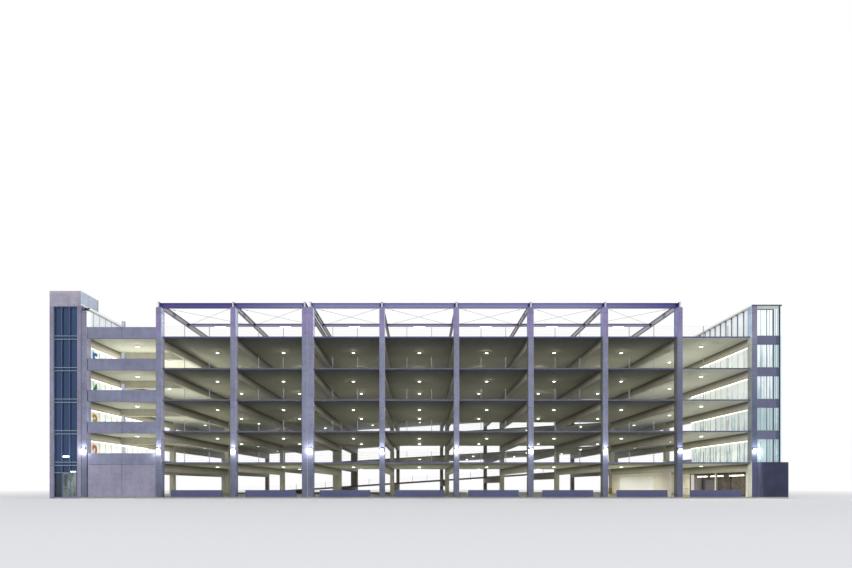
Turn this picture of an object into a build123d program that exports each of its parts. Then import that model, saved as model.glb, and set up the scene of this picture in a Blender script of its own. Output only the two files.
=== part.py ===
"""Multi storey car park, a scale model at 1:2 of the real building, in millimetres.

The front stands at low Y and faces -Y, +X runs to the right along it, and +Z is up.
The origin is the middle of the footprint, on the underside of the ground slab.
Every size here is the size in the model, half of the size in the real building.
"""
import os

from build123d import *

# Column grid
bay = 3750
bay_count = 9
row_spacing = 9150
column_width = 275
column_depth = 350
joint_line = 3
joint_gap = 20

# Storeys
ground_slab_thickness = 75
first_storey = 1760
storey = 1590
level_count = 5
slab_thickness = 75
slab_setback = 125

# Beams under the slabs
beam_width = 225
beam_depth = 400
bay_beam_place = 3000
lowest_beam_gap = 400

# Concrete panels
panel_thickness = 100
panel_joint = 10
panel_side_gap = 40
spandrel_drop = 135
spandrel_rise = 450
stub_width = 150
stub_depth = 100
stub_rise = 325
knee_wall_length = 2550
knee_wall_height = 350
knee_wall_inset = 60
divider_start = 1000

# Rails
rail_post = 25
rail_post_inset = 15
rail_height = 535

# West stair tower
tower_width = 1600
tower_depth = 6000
tower_pillar_width = 210
tower_pillar_depth = 250
tower_cap_seat = 9600
tower_cap_height = 780
tower_cap_depth = 1375
tower_roof_thickness = 75
frame_bar = 36
frame_bar_depth = 50
frame_inset = 50
corner_column_gap = 140
glass_thickness = 12
transom_band = 165
door_height = 1210

# Pair of doors in the tower
door_thickness = 22
door_gap = 5
pivot_inset = 8
pivot_radius = 6
pivot_clearance = 0.3
pivot_edge_gap = 11
door_stile = 45
door_rail = 60
door_mid_rail_height = 500
door_glass_thickness = 8

# East stair
stair_width = 1240
stair_base_width = 1575
stair_glass_gap = 115
stair_spandrel_height = 375
stair_panel_inset = 25
stair_roof_seat = 9625
stair_roof_thickness = 60
screen_thickness = 30
side_glass_joint = 5

# East ground storey window
window_start = 630
window_post_place = 3330
window_post_width = 100
window_end = 6200

# Steel frame over the roof
frame_seat = 9560
edge_beam_depth = 250
purlin_depth = 150
purlin_drop = 80
purlin_places = (3250, 6300)
flange_width = 110
flange_thickness = 14
web_thickness = 10

# Lights
ceiling_light_radius = 90
ceiling_light_height = 40
ceiling_light_stem = 60
ceiling_light_stem_radius = 12
ceiling_light_rows = (2800, 6650)
end_bay_light_rows = (1500, 5000)
roof_light_length = 650
roof_light_width = 90
roof_light_height = 60
wall_light_width = 130
wall_light_height = 110
wall_light_depth = 90
wall_light_place = 2410

# Places worked out from the sizes above
building_depth = 2 * row_spacing + column_depth
grid_shift = (tower_width - stair_base_width) / 2
front = (wall_light_depth - building_depth) / 2
row_fronts = [front + row * row_spacing for row in range(3)]
rear = front + building_depth
twin_offset = (column_width + joint_gap) / 2
ground_top = ground_slab_thickness


def line_x(line):
    return grid_shift + (line - bay_count / 2) * bay


def level_z(level):
    if level == 0:
        return ground_top
    return ground_top + first_storey + (level - 1) * storey


levels = range(1, level_count + 1)
joint_x = line_x(joint_line)
west_lines = [line_x(k) for k in range(joint_line)] + [joint_x - twin_offset]
east_lines = [joint_x + twin_offset] + [line_x(k) for k in range(joint_line + 1, bay_count + 1)]
all_lines = west_lines + east_lines
bay_spans = [*zip(west_lines, west_lines[1:]), *zip(east_lines, east_lines[1:])]
first_line = line_x(0)
last_line = line_x(bay_count)
ramp_foot = line_x(1)
ramp_head = line_x(bay_count - 1)
west_face = first_line - column_width / 2
east_face = last_line + column_width / 2
slab_west = first_line - beam_width / 2
slab_east = last_line + beam_width / 2
tower_west = west_face - tower_width
tower_back = front + tower_depth
stair_east = east_face + stair_width
stair_back = tower_back
stair_floor_east = stair_east - stair_glass_gap
slab_front = front + slab_setback
slab_rear = rear - slab_setback


def block(x, y, z):
    """Add a box to the part in hand, given its two ends along each axis."""
    with Locations(((x[0] + x[1]) / 2, (y[0] + y[1]) / 2, (z[0] + z[1]) / 2)):
        Box(x[1] - x[0], y[1] - y[0], z[1] - z[0])


def save(part, name):
    part.label = name
    export_step(part, f"parts/{name}.step")


def joint_halves(x_start, x_end):
    """Split a run along X at the expansion joint."""
    return ((x_start, joint_x - joint_gap / 2), (joint_x + joint_gap / 2, x_end))


def floor_top(level, x):
    """Top of the rear floor that climbs east from the level below to this level."""
    climb = min(max((x - ramp_foot) / (ramp_head - ramp_foot), 0), 1)
    return level_z(level - 1) + climb * (level_z(level) - level_z(level - 1))


# Ground slab
def make_ground_slab():
    with BuildPart() as ground_slab:
        block((west_face, east_face), (front, rear), (0, ground_top))
    save(ground_slab.part, "ground_slab")


# Columns
def make_front_columns():
    with BuildPart() as front_columns:
        for x in all_lines:
            top = ground_top + frame_seat
            if x == first_line:
                top = cap_z - tower_roof_thickness - corner_column_gap
            if x == last_line:
                top = ground_top + stair_roof_seat
            block((x - column_width / 2, x + column_width / 2),
                  (row_fronts[0], row_fronts[0] + column_depth), (ground_top, top))
    save(front_columns.part, "front_columns")


def make_middle_columns():
    with BuildPart() as middle_columns:
        for x in all_lines:
            if x in (first_line, last_line):
                top = level_z(level_count) + spandrel_rise
            else:
                top = ground_top + frame_seat
            block((x - column_width / 2, x + column_width / 2),
                  (row_fronts[1], row_fronts[1] + column_depth), (ground_top, top))
    save(middle_columns.part, "middle_columns")


def make_rear_columns():
    with BuildPart() as rear_columns:
        for x in all_lines:
            top = floor_top(level_count, x) + rail_height
            block((x - column_width / 2, x + column_width / 2),
                  (row_fronts[2], row_fronts[2] + column_depth), (ground_top, top))
    save(rear_columns.part, "rear_columns")


# Flat decks over the front module
def make_deck(level):
    with BuildPart() as deck:
        with BuildSketch(Plane.XY.offset(level_z(level) - slab_thickness)):
            for start, end in joint_halves(slab_west, slab_east):
                with Locations(((start + end) / 2, (slab_front + row_fronts[1]) / 2)):
                    Rectangle(end - start, row_fronts[1] - slab_front)
            with Locations(*[(x, row_fronts[0] + column_depth / 2) for x in all_lines]):
                Rectangle(column_width, column_depth, mode=Mode.SUBTRACT)
        extrude(amount=slab_thickness)
    save(deck.part, f"deck_{level}")


# Flat slabs where the way turns from a deck to a ramp, at both ends of the rear module
def make_turning_slabs():
    west_slabs = [(slab_west, ramp_foot, level) for level in range(1, level_count)]
    east_slabs = [(ramp_head, slab_east, level) for level in levels]
    column_places = [(x, row_fronts[row] + column_depth / 2) for x in all_lines for row in (1, 2)]
    with BuildPart() as turning_slabs:
        for start, end, level in west_slabs + east_slabs:
            with BuildSketch(Plane.XY.offset(level_z(level) - slab_thickness)):
                with Locations(((start + end) / 2, (row_fronts[1] + slab_rear) / 2)):
                    Rectangle(end - start, slab_rear - row_fronts[1])
                with Locations(*column_places):
                    Rectangle(column_width, column_depth, mode=Mode.SUBTRACT)
            extrude(amount=slab_thickness)
    save(turning_slabs.part, "turning_slabs")


# Ramps, each a sloping slab that climbs one storey to the east
def make_ramp(level):
    slope = (level_z(level) - level_z(level - 1)) / (ramp_head - ramp_foot)
    with BuildPart() as ramp:
        with BuildSketch(Plane.XZ.offset(-(row_fronts[1] + column_depth))):
            for start, end in joint_halves(ramp_foot, ramp_head):
                start_top = floor_top(level, start)
                end_top = floor_top(level, end)
                start_under = start_top - slab_thickness
                outline = [(start, start_top), (end, end_top), (end, end_top - slab_thickness)]
                if start_under < ground_top:
                    outline.append((ramp_foot + slab_thickness / slope, ground_top))
                else:
                    outline.append((start, start_under))
                with BuildLine():
                    Polyline(*outline, close=True)
                make_face()
        extrude(amount=-(slab_rear - row_fronts[1] - column_depth))
        with Locations(*[(x, row_fronts[2] + column_depth / 2, level_z(level)) for x in all_lines]):
            Box(column_width, column_depth, 4 * storey, mode=Mode.SUBTRACT)
    save(ramp.part, f"ramp_{level}")


# Beams from front to back on every column line
def make_deck_beams():
    middle_y = (row_fronts[0] + column_depth + row_fronts[1]) / 2
    heights = [level_z(level) - slab_thickness - beam_depth / 2 for level in levels]
    with BuildPart() as deck_beams:
        with Locations(*[(x, middle_y, z) for x in all_lines for z in heights]):
            Box(beam_width, row_spacing - column_depth, beam_depth)
    save(deck_beams.part, "deck_beams")


def beam_outline(level, x):
    """Outline of a beam under a rear floor: a level foot, and a top that follows the slab."""
    west = x - beam_width / 2
    east = x + beam_width / 2
    places = [west] + [kink for kink in (ramp_foot, ramp_head) if west < kink < east] + [east]
    tops = [(place, floor_top(level, place) - slab_thickness) for place in places]
    foot = tops[0][1] - beam_depth
    if foot < ground_top + lowest_beam_gap:
        foot = ground_top
    return tops + [(east, foot), (west, foot)]


def make_ramp_beams():
    with BuildPart() as ramp_beams:
        with BuildSketch(Plane.XZ.offset(-(row_fronts[1] + column_depth))):
            for level in levels:
                for x in all_lines:
                    if floor_top(level, x) < ground_top + 2 * slab_thickness:
                        continue
                    with BuildLine():
                        Polyline(*beam_outline(level, x), close=True)
                    make_face()
        extrude(amount=-(row_spacing - column_depth))
    save(ramp_beams.part, "ramp_beams")


def make_west_bay_beams():
    with BuildPart() as west_bay_beams:
        for level in levels:
            top = level_z(level) - slab_thickness
            block((first_line + beam_width / 2, ramp_foot - beam_width / 2),
                  (front + bay_beam_place, front + bay_beam_place + beam_width),
                  (top - beam_depth, top))
    save(west_bay_beams.part, "west_bay_beams")


# Concrete panels of the closed bay at the west end
panel_west = west_face + column_width + panel_side_gap
panel_east = ramp_foot - column_width / 2 - panel_joint
panel_middle = (panel_west + panel_east) / 2
panel_halves = ((panel_west, panel_middle - panel_joint / 2), (panel_middle + panel_joint / 2, panel_east))
panel_y = (slab_front - panel_thickness, slab_front)


def make_west_spandrels():
    with BuildPart() as west_spandrels:
        for level in levels:
            for half in panel_halves:
                block(half, panel_y, (level_z(level) - spandrel_drop, level_z(level) + spandrel_rise))
    save(west_spandrels.part, "west_spandrels")


def make_west_ground_wall():
    with BuildPart() as west_ground_wall:
        for half in panel_halves:
            block(half, panel_y, (ground_top, level_z(1) - spandrel_drop - panel_joint))
    save(west_ground_wall.part, "west_ground_wall")


def make_spandrel_posts():
    with BuildPart() as spandrel_posts:
        for level in levels:
            block((panel_middle - stub_width / 2, panel_middle + stub_width / 2),
                  (slab_front, slab_front + stub_depth),
                  (level_z(level), level_z(level) + spandrel_rise + stub_rise))
    save(spandrel_posts.part, "spandrel_posts")


def make_knee_walls():
    with BuildPart() as knee_walls:
        for k in range(1, bay_count):
            middle = line_x(k) + bay / 2
            block((middle - knee_wall_length / 2, middle + knee_wall_length / 2),
                  (front + knee_wall_inset, front + knee_wall_inset + panel_thickness),
                  (ground_top, ground_top + knee_wall_height))
    save(knee_walls.part, "knee_walls")


# Parapets along both sides, behind the stairs
def make_side_parapets():
    with BuildPart() as side_parapets:
        for level in levels:
            z = (level_z(level), level_z(level) + spandrel_rise)
            runs = [(tower_back, row_fronts[1]), (row_fronts[1] + column_depth, row_fronts[2])]
            for run in runs:
                block((slab_east - panel_thickness, slab_east), run, z)
            if level == level_count:
                runs = runs[:1]
            for run in runs:
                block((slab_west, slab_west + panel_thickness), run, z)
    save(side_parapets.part, "side_parapets")


# Rail posts at the third points of each open bay
def make_rail_posts():
    front_y = slab_front + rail_post_inset + rail_post / 2
    rear_y = slab_rear - rail_post_inset - rail_post / 2
    places = []
    for level in levels:
        for k in range(bay_count):
            for third in (1, 2):
                x = line_x(k) + third * bay / 3
                if k > 0:
                    places.append((x, front_y, level_z(level) + rail_height / 2))
                rear_foot = floor_top(level, x + rail_post / 2)
                if rear_foot > ground_top:
                    places.append((x, rear_y, rear_foot + rail_height / 2))
    with BuildPart() as rail_posts:
        with Locations(*places):
            Box(rail_post, rail_post, rail_height)
    save(rail_posts.part, "rail_posts")


# West stair tower
tower_opening = (tower_west + tower_pillar_width, west_face - tower_pillar_width)
frame_front = front + frame_inset
frame_back = frame_front + frame_bar_depth
glass_y = (frame_back, frame_back + glass_thickness)
third_width = (tower_opening[1] - tower_opening[0]) / 3
mullion_places = [tower_opening[0] + third_width, tower_opening[0] + 2 * third_width]
cap_z = ground_top + tower_cap_seat
door_head = ground_top + door_height


def make_tower_pillars():
    with BuildPart() as tower_pillars:
        for x in ((tower_west, tower_opening[0]), (tower_opening[1], west_face)):
            block(x, (front, front + tower_pillar_depth), (ground_top, cap_z))
    save(tower_pillars.part, "tower_pillars")


def make_tower_walls():
    roof_under = cap_z - tower_roof_thickness
    with BuildPart() as tower_walls:
        block((tower_west, tower_west + panel_thickness),
              (front + tower_pillar_depth, tower_back), (ground_top, roof_under))
        block((tower_west + panel_thickness + panel_joint, west_face),
              (tower_back - panel_thickness, tower_back), (ground_top, roof_under))
    save(tower_walls.part, "tower_walls")


def make_tower_floors():
    with BuildPart() as tower_floors:
        block((tower_west, west_face), (front, tower_back), (0, ground_top))
        for level in levels:
            block((tower_west + panel_thickness, west_face),
                  (front + tower_pillar_depth, tower_back - panel_thickness),
                  (level_z(level) - slab_thickness, level_z(level)))
    save(tower_floors.part, "tower_floors")


def make_tower_cap():
    inner = 2 * panel_thickness
    with BuildPart() as tower_cap:
        with BuildSketch(Plane.XY.offset(cap_z)):
            with Locations(((tower_west + west_face) / 2, front + tower_cap_depth / 2)):
                Rectangle(tower_width, tower_cap_depth)
                Rectangle(tower_width - inner, tower_cap_depth - inner, mode=Mode.SUBTRACT)
        extrude(amount=tower_cap_height - panel_thickness)
        block((tower_west, west_face), (front, front + tower_cap_depth),
              (cap_z + tower_cap_height - panel_thickness, cap_z + tower_cap_height))
    save(tower_cap.part, "tower_cap")


def make_stair_roofs():
    with BuildPart() as stair_roofs:
        block((tower_west, west_face + column_width), (front + tower_pillar_depth, tower_back),
              (cap_z - tower_roof_thickness, cap_z))
        block((east_face - column_width, stair_east), (front, stair_back),
              (ground_top + stair_roof_seat, ground_top + stair_roof_seat + stair_roof_thickness))
    save(stair_roofs.part, "stair_roofs")


def transom_places():
    """Heights of the middles of the cross bars of the tower window."""
    places = [door_head + frame_bar / 2]
    for level in levels:
        places += [level_z(level) - transom_band, level_z(level)]
    return places + [cap_z - frame_bar / 2]


def make_tower_frame():
    middle = (tower_opening[0] + tower_opening[1]) / 2
    uprights = [tower_opening[0] + frame_bar / 2, tower_opening[1] - frame_bar / 2] + mullion_places
    with BuildPart() as tower_frame:
        with BuildSketch(Plane.XZ.offset(-frame_front)):
            with Locations(*[(x, (door_head + cap_z) / 2) for x in uprights]):
                Rectangle(frame_bar, cap_z - door_head)
            with Locations(*[(middle, z) for z in transom_places()]):
                Rectangle(tower_opening[1] - tower_opening[0], frame_bar)
        extrude(amount=-frame_bar_depth)
    save(tower_frame.part, "tower_frame")


def make_tower_glass():
    with BuildPart() as tower_glass:
        block((tower_opening[0], mullion_places[0] - frame_bar / 2), glass_y, (ground_top, door_head))
        sheet_ends = [door_head + frame_bar / 2]
        sheet_ends += [level_z(level) for level in levels] + [cap_z]
        for low, high in zip(sheet_ends, sheet_ends[1:]):
            block(tower_opening, glass_y, (low, high - frame_bar / 2))
    save(tower_glass.part, "tower_glass")


# Doors: two leaves on pivots in their lower and upper rails, one on each side of the meeting line
jamb_faces = (mullion_places[0] + frame_bar / 2, tower_opening[1] - frame_bar)
door_middle = (jamb_faces[0] + jamb_faces[1]) / 2
leaf_z = (ground_top + door_gap, door_head - door_gap)
leaf_y = (frame_front, frame_front + door_thickness)


def make_door_jambs():
    with BuildPart() as door_jambs:
        for x in ((jamb_faces[0] - frame_bar, jamb_faces[0]), (jamb_faces[1], tower_opening[1])):
            block(x, (frame_front, frame_back), (ground_top, door_head))
    save(door_jambs.part, "door_jambs")


def make_door_leaf(name, leaf_x, pivot_x):
    width = leaf_x[1] - leaf_x[0]
    height = leaf_z[1] - leaf_z[0]
    middle_x = (leaf_x[0] + leaf_x[1]) / 2
    middle_z = (leaf_z[0] + leaf_z[1]) / 2
    middle_y = (leaf_y[0] + leaf_y[1]) / 2
    pane_width = width - 2 * door_stile
    rail_z = leaf_z[0] + door_mid_rail_height
    pivot_low = ground_top + pivot_clearance
    pivot_high = door_head - pivot_clearance
    with BuildPart() as leaf:
        with BuildSketch(Plane.XZ.offset(-leaf_y[0])):
            with Locations((middle_x, middle_z)):
                Rectangle(width, height)
                Rectangle(pane_width, height - 2 * door_rail, mode=Mode.SUBTRACT)
            with Locations((middle_x, rail_z)):
                Rectangle(pane_width, door_rail)
        extrude(amount=-door_thickness)
        with Locations((pivot_x, middle_y, (pivot_low + leaf_z[0]) / 2)):
            Cylinder(pivot_radius, leaf_z[0] - pivot_low)
        with Locations((pivot_x, middle_y, (pivot_high + leaf_z[1]) / 2)):
            Cylinder(pivot_radius, pivot_high - leaf_z[1])
    save(leaf.part, f"{name}_frame")
    pane_x = (leaf_x[0] + door_stile, leaf_x[1] - door_stile)
    pane_y = (middle_y - door_glass_thickness / 2, middle_y + door_glass_thickness / 2)
    with BuildPart() as panes:
        block(pane_x, pane_y, (leaf_z[0] + door_rail, rail_z - door_rail / 2))
        block(pane_x, pane_y, (rail_z + door_rail / 2, leaf_z[1] - door_rail))
    save(panes.part, f"{name}_glass")


def make_doors():
    west_edge = jamb_faces[0] + pivot_edge_gap
    east_edge = jamb_faces[1] - pivot_edge_gap
    make_door_leaf("left_door", (west_edge, door_middle - door_gap / 2), west_edge + pivot_inset)
    make_door_leaf("right_door", (door_middle + door_gap / 2, east_edge), east_edge - pivot_inset)


# Translucent screens between the stairs and the decks
def make_side_screens():
    y = (row_fronts[0] + column_depth, tower_back)
    west_x = (first_line - screen_thickness / 2, first_line + screen_thickness / 2)
    east_x = (last_line - screen_thickness / 2, last_line + screen_thickness / 2)
    with BuildPart() as side_screens:
        for level in range(level_count):
            z = (level_z(level), level_z(level + 1) - slab_thickness - beam_depth)
            block(west_x, y, z)
            if level > 0:
                block(east_x, y, z)
        block(west_x, (y[0], tower_back), (level_z(level_count), cap_z - tower_roof_thickness))
        block(east_x, (y[0], stair_back), (level_z(level_count), ground_top + stair_roof_seat))
    save(side_screens.part, "side_screens")


# East stair: a closed concrete base and a translucent glass shaft above it
base_east = east_face + stair_base_width


def make_stair_walls():
    with BuildPart() as stair_walls:
        block((east_face, base_east), (front, slab_front), (ground_top, level_z(1)))
        block((base_east - panel_thickness, base_east),
              (slab_front + panel_joint, stair_back), (ground_top, level_z(1)))
        block((east_face, base_east - panel_thickness - panel_joint),
              (stair_back - panel_thickness, stair_back), (ground_top, level_z(1)))
    save(stair_walls.part, "stair_base_walls")


def make_stair_floors():
    with BuildPart() as stair_floors:
        block((east_face, base_east), (front, stair_back), (0, ground_top))
        block((east_face, base_east - panel_thickness), (slab_front, stair_back - panel_thickness),
              (level_z(1) - slab_thickness, level_z(1)))
        for level in range(2, level_count + 1):
            block((east_face, stair_floor_east), (slab_front, stair_back - panel_thickness),
                  (level_z(level) - slab_thickness, level_z(level)))
    save(stair_floors.part, "stair_floors")


def make_stair_spandrels():
    with BuildPart() as stair_spandrels:
        for level in range(2, level_count + 1):
            block((east_face, stair_floor_east), (front + stair_panel_inset, slab_front),
                  (level_z(level) - stair_spandrel_height, level_z(level)))
    save(stair_spandrels.part, "stair_spandrels")


stair_glass_y = (frame_front, frame_front + glass_thickness)
stair_roof_under = ground_top + stair_roof_seat


def make_stair_front_glass():
    with BuildPart() as stair_front_glass:
        for level in range(1, level_count):
            block((east_face, stair_floor_east), stair_glass_y,
                  (level_z(level), level_z(level + 1) - stair_spandrel_height))
        block((east_face, stair_floor_east), stair_glass_y, (level_z(level_count), stair_roof_under))
    save(stair_front_glass.part, "stair_front_glass")


def make_stair_side_glass():
    with BuildPart() as stair_side_glass:
        block((stair_floor_east + side_glass_joint, stair_east), stair_glass_y,
              (level_z(1), stair_roof_under))
        block((stair_east - screen_thickness, stair_east),
              (stair_glass_y[1] + side_glass_joint, stair_back), (level_z(1), stair_roof_under))
    save(stair_side_glass.part, "stair_side_glass")


def make_stair_back_wall():
    with BuildPart() as stair_back_wall:
        block((east_face, stair_east - screen_thickness),
              (stair_back - panel_thickness, stair_back), (level_z(1), stair_roof_under))
    save(stair_back_wall.part, "stair_back_wall")


# East end of the ground storey
def make_divider_wall():
    top = level_z(1) - slab_thickness - beam_depth
    with BuildPart() as divider_wall:
        block((ramp_head - panel_thickness / 2, ramp_head + panel_thickness / 2),
              (front + divider_start, row_fronts[1]), (ground_top, top))
    save(divider_wall.part, "divider_wall")


def make_east_ground_walls():
    x = (last_line - panel_thickness / 2, last_line + panel_thickness / 2)
    z = (ground_top, level_z(1) - slab_thickness - beam_depth)
    post = (front + window_post_place, front + window_post_place + window_post_width)
    with BuildPart() as east_ground_walls:
        block(x, (row_fronts[0] + column_depth, front + window_start), z)
        block(x, post, z)
        block(x, (front + window_end, row_fronts[1]), z)
    save(east_ground_walls.part, "east_ground_walls")
    pane_x = (last_line - glass_thickness / 2, last_line + glass_thickness / 2)
    with BuildPart() as east_window_glass:
        block(pane_x, (front + window_start, post[0]), z)
        block(pane_x, (post[1], front + window_end), z)
    save(east_window_glass.part, "east_window_glass")


# Steel frame over the roof, on the columns of the seven middle bays
frame_z = ground_top + frame_seat
frame_lines = [x for x in all_lines if x not in (first_line, last_line)]
frame_spans = [span for span in zip(frame_lines, frame_lines[1:]) if span[1] - span[0] > bay / 2]


def i_section(depth):
    """Draw a steel beam's section with the middle of its top at the origin of the place in hand."""
    with Locations((0, -flange_thickness / 2), (0, flange_thickness / 2 - depth)):
        Rectangle(flange_width, flange_thickness)
    with Locations((0, -depth / 2)):
        Rectangle(web_thickness, depth)


def make_roof_cross_beams():
    with BuildPart() as roof_cross_beams:
        with BuildSketch(Plane.XZ.offset(-row_fronts[0])):
            for x in frame_lines:
                with Locations((x, frame_z + edge_beam_depth)):
                    i_section(edge_beam_depth)
        extrude(amount=-(row_spacing + column_depth))
    save(roof_cross_beams.part, "roof_cross_beams")


def make_steel_runs(name, depth, places, seat, drop=0):
    """Beams along X between the cross beams, which they meet at that distance from the middle."""
    with BuildPart() as steel_runs:
        for start, end in frame_spans:
            with BuildSketch(Plane.YZ.offset(start + seat)):
                for y in places:
                    with Locations((y, frame_z + edge_beam_depth - drop)):
                        i_section(depth)
            extrude(amount=end - start - 2 * seat)
    save(steel_runs.part, name)


def make_roof_frame():
    make_roof_cross_beams()
    rows = [row_fronts[row] + column_depth / 2 for row in (0, 1)]
    make_steel_runs("roof_edge_beams", edge_beam_depth, rows, flange_width / 2)
    purlin_rows = [front + place for place in purlin_places]
    make_steel_runs("roof_purlins", purlin_depth, purlin_rows, web_thickness / 2, purlin_drop)


# Lights
def make_ceiling_lights():
    spots = []
    for start, end in bay_spans:
        rows = end_bay_light_rows if start == first_line or end == last_line else ceiling_light_rows
        spots += [((start + end) / 2, front + row) for row in rows]
    tops = [level_z(level) - slab_thickness for level in levels]
    drop = ceiling_light_stem + ceiling_light_height / 2
    with BuildPart() as ceiling_lights:
        with Locations(*[(x, y, top - drop) for x, y in spots for top in tops]):
            Cylinder(ceiling_light_radius, ceiling_light_height)
        with Locations(*[(x, y, top - ceiling_light_stem / 2) for x, y in spots for top in tops]):
            Cylinder(ceiling_light_stem_radius, ceiling_light_stem)
    save(ceiling_lights.part, "ceiling_lights")


def make_roof_lights():
    top = frame_z + edge_beam_depth - purlin_drop - purlin_depth
    with BuildPart() as roof_lights:
        for start, end in frame_spans:
            middle = (start + end) / 2
            y = front + purlin_places[0]
            block((middle - roof_light_length / 2, middle + roof_light_length / 2),
                  (y - roof_light_width / 2, y + roof_light_width / 2), (top - roof_light_height, top))
    save(roof_lights.part, "roof_lights")


def make_wall_lights():
    with BuildPart() as wall_lights:
        for k in range(bay_count + 1):
            x = east_lines[0] if k == joint_line else line_x(k)
            z = ground_top + wall_light_place
            block((x - wall_light_width / 2, x + wall_light_width / 2),
                  (front - wall_light_depth, front),
                  (z - wall_light_height / 2, z + wall_light_height / 2))
    save(wall_lights.part, "wall_lights")


os.makedirs("parts", exist_ok=True)
make_ground_slab()
make_front_columns()
make_middle_columns()
make_rear_columns()
for deck_level in levels:
    make_deck(deck_level)
    make_ramp(deck_level)
make_turning_slabs()
make_deck_beams()
make_ramp_beams()
make_west_bay_beams()
make_west_spandrels()
make_west_ground_wall()
make_spandrel_posts()
make_knee_walls()
make_side_parapets()
make_rail_posts()
make_tower_pillars()
make_tower_walls()
make_tower_floors()
make_tower_cap()
make_stair_roofs()
make_tower_frame()
make_tower_glass()
make_door_jambs()
make_doors()
make_side_screens()
make_stair_walls()
make_stair_floors()
make_stair_spandrels()
make_stair_front_glass()
make_stair_side_glass()
make_stair_back_wall()
make_divider_wall()
make_east_ground_walls()
make_roof_frame()
make_ceiling_lights()
make_roof_lights()
make_wall_lights()
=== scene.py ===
"""Looks of the multi storey car park: finishes, fittings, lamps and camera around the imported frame.

Metres, in the building's own frame: the front faces -Y, +X runs to the right along it, +Z is up.
"""
import math

import bmesh
import bpy
from mathutils import Matrix, Vector


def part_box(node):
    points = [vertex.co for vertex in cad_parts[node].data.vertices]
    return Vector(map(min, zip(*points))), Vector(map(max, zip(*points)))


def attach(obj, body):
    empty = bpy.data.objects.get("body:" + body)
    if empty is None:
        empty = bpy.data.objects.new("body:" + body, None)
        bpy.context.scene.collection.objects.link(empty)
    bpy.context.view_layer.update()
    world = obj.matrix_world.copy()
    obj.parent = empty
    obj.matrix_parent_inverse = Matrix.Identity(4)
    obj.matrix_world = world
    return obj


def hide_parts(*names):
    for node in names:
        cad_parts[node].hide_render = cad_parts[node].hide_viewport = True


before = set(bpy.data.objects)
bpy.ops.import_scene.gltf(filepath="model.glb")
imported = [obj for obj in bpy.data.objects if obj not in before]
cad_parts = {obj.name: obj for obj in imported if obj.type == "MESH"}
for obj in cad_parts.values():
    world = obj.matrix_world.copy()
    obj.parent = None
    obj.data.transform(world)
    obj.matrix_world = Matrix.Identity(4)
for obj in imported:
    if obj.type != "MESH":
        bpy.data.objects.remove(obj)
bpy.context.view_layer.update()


# Sizes read from the frame
def low(node):
    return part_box(node)[0]


def high(node):
    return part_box(node)[1]


level_count = 5
levels = range(1, level_count + 1)
ground_top = high("ground_slab").z
tops = [ground_top] + [high(f"deck_{level}").z for level in levels]
storey = tops[2] - tops[1]
slab = high("deck_1").z - low("deck_1").z
beam = low("deck_1").z - low("deck_beams").z
front = low("front_columns").y
column_back = high("front_columns").y
column_depth = column_back - front
slab_front = low("deck_1").y
middle_row = low("middle_columns").y
rear = high("rear_columns").y
west_face = low("front_columns").x
east_face = high("front_columns").x
stair_back = high("stair_floors").y
cap_foot = low("tower_cap").z
cap_top = high("tower_cap").z
cap_back = high("tower_cap").y
steel_foot = low("roof_cross_beams").z
steel_top = high("roof_cross_beams").z
ramp_foot = low("ramp_1").x
ramp_head = high("ramp_1").x
stair_roof_foot = high("stair_front_glass").z
tower_roof_foot = high("tower_walls").z
glass_front = low("stair_front_glass").y
spandrel_height = tops[2] - low("stair_spandrels").z

# Sizes of the column grid
bay = 3.75
bay_count = 9
joint_line = 3
column_width = 0.275
joint_gap = 0.02
flange_width = 0.11
web_thickness = 0.01
first_line = west_face + column_width / 2
last_line = east_face - column_width / 2
rail_height = 0.535
rail_post = 0.025
spandrel_rise = 0.45
transom_drop = 0.165


def line_x(line):
    return first_line + line * bay


def column_places():
    """Middle of each column along X, with the pair of columns at the expansion joint."""
    places = [line_x(line) for line in range(bay_count + 1)]
    offset = (column_width + joint_gap) / 2
    places[joint_line:joint_line + 1] = [line_x(joint_line) - offset, line_x(joint_line) + offset]
    return places


columns = column_places()


def spans_between(places, inset=0.0):
    """Both ends of each bay between neighbouring places, without the gap at the expansion joint."""
    return [(a + inset, b - inset) for a, b in zip(places, places[1:]) if b - a > bay / 2]


bays = spans_between(columns, column_width / 2)


def floor_top(level, x):
    """Top of the rear floor that climbs east from the level below to this level."""
    climb = min(max((x - ramp_foot) / (ramp_head - ramp_foot), 0), 1)
    return tops[level - 1] + climb * (tops[level] - tops[level - 1])


# Finishes
finishes = {}


def paint(colour):
    """The colour of screen values, 0 to 255; the output of a node stays as it is."""
    if isinstance(colour, (tuple, list)):
        return tuple((value / 255) ** 2.2 for value in colour)
    return colour


def math_node(operation):
    """A method that adds a math node with this operation."""
    def method(*values):
        return values[0].tree.math(operation, *values)
    return method


class Value:
    """A number that a node gives. Plain arithmetic on it adds the math nodes; a mask runs from 0 to 1."""

    def __init__(self, tree, socket):
        self.tree = tree
        self.socket = socket

    __add__ = math_node("ADD")
    __sub__ = math_node("SUBTRACT")
    __mul__ = math_node("MULTIPLY")
    __mod__ = math_node("FLOORED_MODULO")
    __gt__ = math_node("GREATER_THAN")
    __lt__ = math_node("LESS_THAN")
    __or__ = math_node("MAXIMUM")
    __abs__ = math_node("ABSOLUTE")

    def between(self, start, end):
        """Rises from 0 to 1 as the value goes from start to end."""
        return Value(self.tree, self.tree.node("MapRange", {0: self, 1: start, 2: end}).outputs[0])

    def near(self, place, width):
        """1 in a band of that width about a place."""
        return self.tree.math("COMPARE", self, place, width / 2)

    def every(self, start, step, width):
        """1 in bands of that width, one at start and one each step from it."""
        return ((self - (start - step / 2)) % step).near(step / 2, width)


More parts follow.
